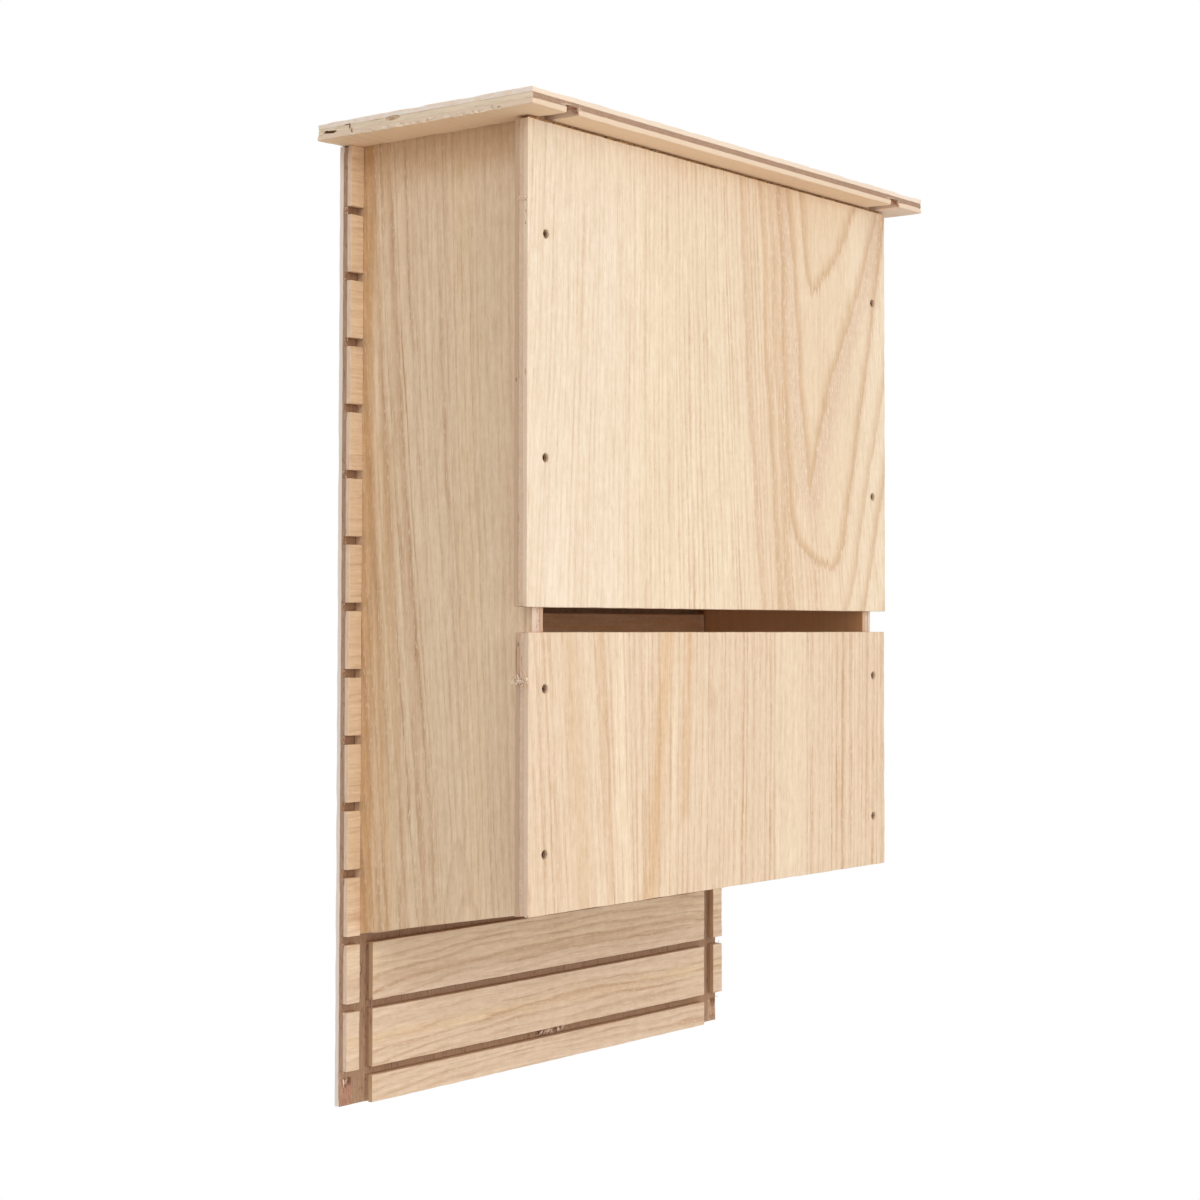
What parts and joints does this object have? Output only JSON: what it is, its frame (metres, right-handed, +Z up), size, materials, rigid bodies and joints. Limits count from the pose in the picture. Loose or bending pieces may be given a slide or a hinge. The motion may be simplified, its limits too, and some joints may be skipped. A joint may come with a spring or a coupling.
{
  "type": "bat box",
  "caption": "Wall-hung plywood bat box with an open bottom, a vent slot across the front, a flat overhanging roof and a grooved back board that runs on below as a landing.",
  "frame": {"origin": "on the wall face of the back board, on the centre line, level with the seats of the two keyholes that it hangs from", "axes": "+X to the right as seen from the front, +Y from the front towards the wall, +Z up; the wall is the plane Y = 0"},
  "size_m": [0.4064, 0.1608, 0.5604],
  "materials": {
    "back_plywood": "raw sanded ash plywood, level grain",
    "side_plywood": "raw sanded ash plywood, upright grain",
    "front_plywood": "raw sanded ash plywood, upright grain",
    "roof_plywood": "raw sanded ash plywood",
    "screw_steel": "dark bronze coated",
    "hanger_steel": "zinc plated"
  },
  "bodies": {
    "root": {"back_board": "back_plywood", "side_panel_left": "side_plywood", "side_panel_right": "side_plywood", "front_panel_upper": "front_plywood", "front_panel_lower": "front_plywood", "roof_board": "roof_plywood", "front_screw_left_1": "screw_steel", "front_screw_left_2": "screw_steel", "front_screw_left_3": "screw_steel", "front_screw_left_4": "screw_steel", "back_screw_left_1": "screw_steel", "back_screw_left_2": "screw_steel", "back_screw_left_3": "screw_steel", "roof_screw_left_1": "screw_steel", "roof_screw_left_2": "screw_steel", "front_screw_right_1": "screw_steel", "front_screw_right_2": "screw_steel", "front_screw_right_3": "screw_steel", "front_screw_right_4": "screw_steel", "back_screw_right_1": "screw_steel", "back_screw_right_2": "screw_steel", "back_screw_right_3": "screw_steel", "roof_screw_right_1": "screw_steel", "roof_screw_right_2": "screw_steel", "hanger_plate_left": "hanger_steel", "hanger_plate_right": "hanger_steel", "hanger_screw_left_1": "hanger_steel", "hanger_screw_left_2": "hanger_steel", "hanger_screw_right_1": "hanger_steel", "hanger_screw_right_2": "hanger_steel"}
  },
  "joints": []
}
